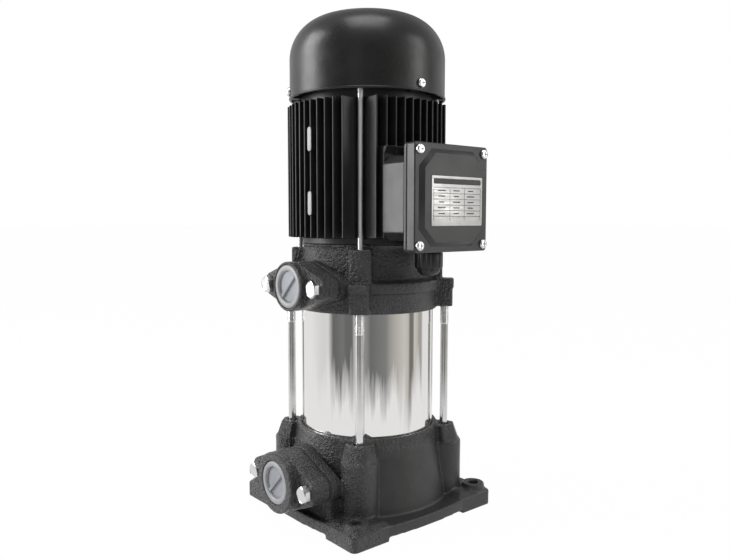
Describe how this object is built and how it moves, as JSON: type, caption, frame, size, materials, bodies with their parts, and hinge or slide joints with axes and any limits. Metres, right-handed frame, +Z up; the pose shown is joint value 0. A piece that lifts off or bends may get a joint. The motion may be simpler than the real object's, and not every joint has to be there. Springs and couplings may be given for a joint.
{
  "type": "vertical multistage pump",
  "caption": "Close-coupled vertical multistage pump: stainless sleeve clamped by tie rods between cast base and head, finned motor above.",
  "frame": {"origin": "pump shaft axis at the underside of the four feet, the centre of the foundation bolt pattern", "axes": "+Z up along the shaft, -Y out of the suction and discharge ports, +X out of the terminal box"},
  "size_m": [0.1953, 0.192, 0.4495],
  "materials": {
    "cast_iron_paint": "gloss black paint over sand-cast iron",
    "motor_paint": "satin black powder coat",
    "cover_paint": "satin black powder coat on pressed sheet",
    "box_paint": "satin dark grey powder coat",
    "polished_steel": "mirror-polished stainless tube",
    "stage_steel": "pressed stainless sheet",
    "shaft_steel": "ground stainless bar",
    "bearing_steel": "ground bearing steel",
    "lamination_steel": "stacked steel sheets",
    "bright_zinc": "bright zinc-plated fasteners",
    "plate_metal": "blank silver plate",
    "copper_winding": "varnished copper wire",
    "ceramic": "dense ceramic or carbon ring",
    "rubber": "black rubber",
    "black_plastic": "moulded black plastic",
    "clear_plastic": "frosted translucent plastic"
  },
  "bodies": {
    "housing": {"base_casting": "cast_iron_paint", "data_plate": "plate_metal", "discharge_bolts": "bright_zinc", "discharge_flange": "cast_iron_paint", "discharge_gasket": "rubber", "discharge_plug": "clear_plastic", "drain_plug": "bright_zinc", "fan_cover": "cover_paint", "fan_cover_screws": "bright_zinc", "gland_body": "black_plastic", "gland_nut": "black_plastic", "head_casting": "cast_iron_paint", "inlet_guide": "stage_steel", "lid_gasket": "rubber", "lid_screws": "bright_zinc", "lower_bearing_outer": "bearing_steel", "lower_bush": "ceramic", "motor_flange": "motor_paint", "motor_housing": "motor_paint", "motor_rods": "bright_zinc", "pump_sleeve": "polished_steel", "seal_seat": "ceramic", "sleeve_seal_lower": "rubber", "sleeve_seal_upper": "rubber", "stack_ring": "stage_steel", "stage_chamber_1": "stage_steel", "stage_chamber_2": "stage_steel", "stage_chamber_3": "stage_steel", "stage_chamber_4": "stage_steel", "stator_core": "lamination_steel", "stator_windings": "copper_winding", "suction_bolts": "bright_zinc", "suction_flange": "cast_iron_paint", "suction_gasket": "rubber", "suction_plug": "clear_plastic", "terminal_block": "black_plastic", "terminal_box": "box_paint", "terminal_lid": "box_paint", "tie_rod_nuts": "bright_zinc", "tie_rod_washers": "bright_zinc", "tie_rods": "bright_zinc", "upper_bearing_outer": "bearing_steel", "upper_end_shield": "motor_paint", "vent_plug": "bright_zinc"},
    "rotor": {"shaft": "shaft_steel", "wear_sleeve": "shaft_steel", "shaft_nut": "bright_zinc", "rotor_core": "lamination_steel", "seal_ring": "ceramic", "seal_bellows": "rubber", "lower_bearing_inner": "bearing_steel", "upper_bearing_inner": "bearing_steel", "cooling_fan": "black_plastic", "impeller_1": "stage_steel", "impeller_2": "stage_steel", "impeller_3": "stage_steel", "impeller_4": "stage_steel"},
    "lower_cage": {"lower_bearing_balls": "bearing_steel"},
    "upper_cage": {"upper_bearing_balls": "bearing_steel"}
  },
  "joints": [
    {"name": "rotor_spin", "type": "hinge", "parent": "housing", "child": "rotor", "pos_m": [0, 0, 0], "axis": [0, 0, 1], "continuous": true},
    {"name": "lower_cage_spin", "type": "hinge", "parent": "housing", "child": "lower_cage", "pos_m": [0, 0, 0], "axis": [0, 0, 1], "continuous": true},
    {"name": "upper_cage_spin", "type": "hinge", "parent": "housing", "child": "upper_cage", "pos_m": [0, 0, 0], "axis": [0, 0, 1], "continuous": true}
  ],
  "couplings": [
    {"joint": "lower_cage_spin", "follows": "rotor_spin", "ratio": 0.39},
    {"joint": "upper_cage_spin", "follows": "rotor_spin", "ratio": 0.39}
  ]
}
